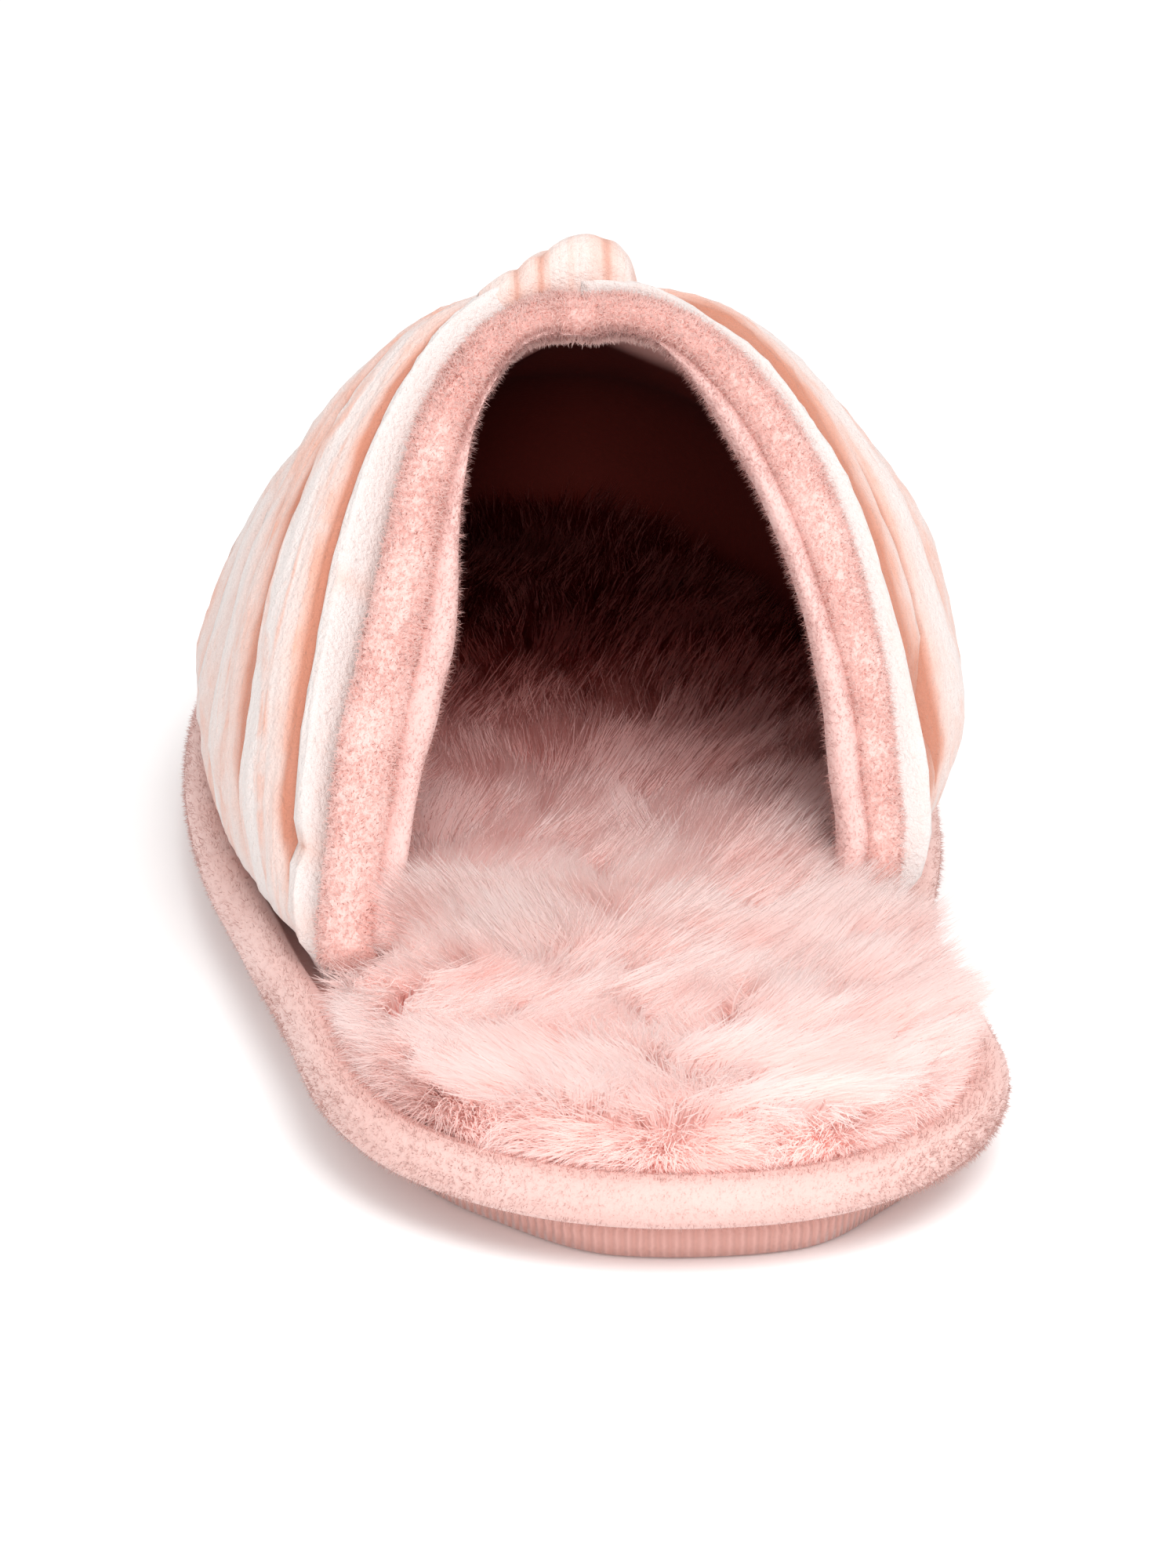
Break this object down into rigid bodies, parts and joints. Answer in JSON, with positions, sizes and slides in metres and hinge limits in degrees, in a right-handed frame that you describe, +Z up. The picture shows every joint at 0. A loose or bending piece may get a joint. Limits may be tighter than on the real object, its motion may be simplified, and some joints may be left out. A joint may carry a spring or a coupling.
{
  "type": "scuff slipper",
  "caption": "Left backless house slipper: fabric-wrapped foam sole, deep fur footbed, plush collar roll and a folded velvet vamp with a closed toe.",
  "frame": {"origin": "on the floor under the middle of the slipper's bounding box", "axes": "+Y from heel to toe, +X to the big-toe side, +Z up"},
  "size_m": [0.099, 0.2598, 0.0831],
  "materials": {
    "outsole_textile": "matte rib weave, dusty rose",
    "wrap_fabric": "brushed microfibre over foam",
    "fur": "deep plush pile",
    "velvet": "crushed velvet with a soft sheen",
    "collar_plush": "short looped plush",
    "velvet_band": "crushed velvet with a soft sheen"
  },
  "bodies": {
    "root": {"outsole": "outsole_textile", "wrapped_footbed": "wrap_fabric", "fur_insole": "fur", "vamp": "velvet", "collar_roll": "collar_plush", "gather_band": "velvet_band"}
  },
  "joints": []
}
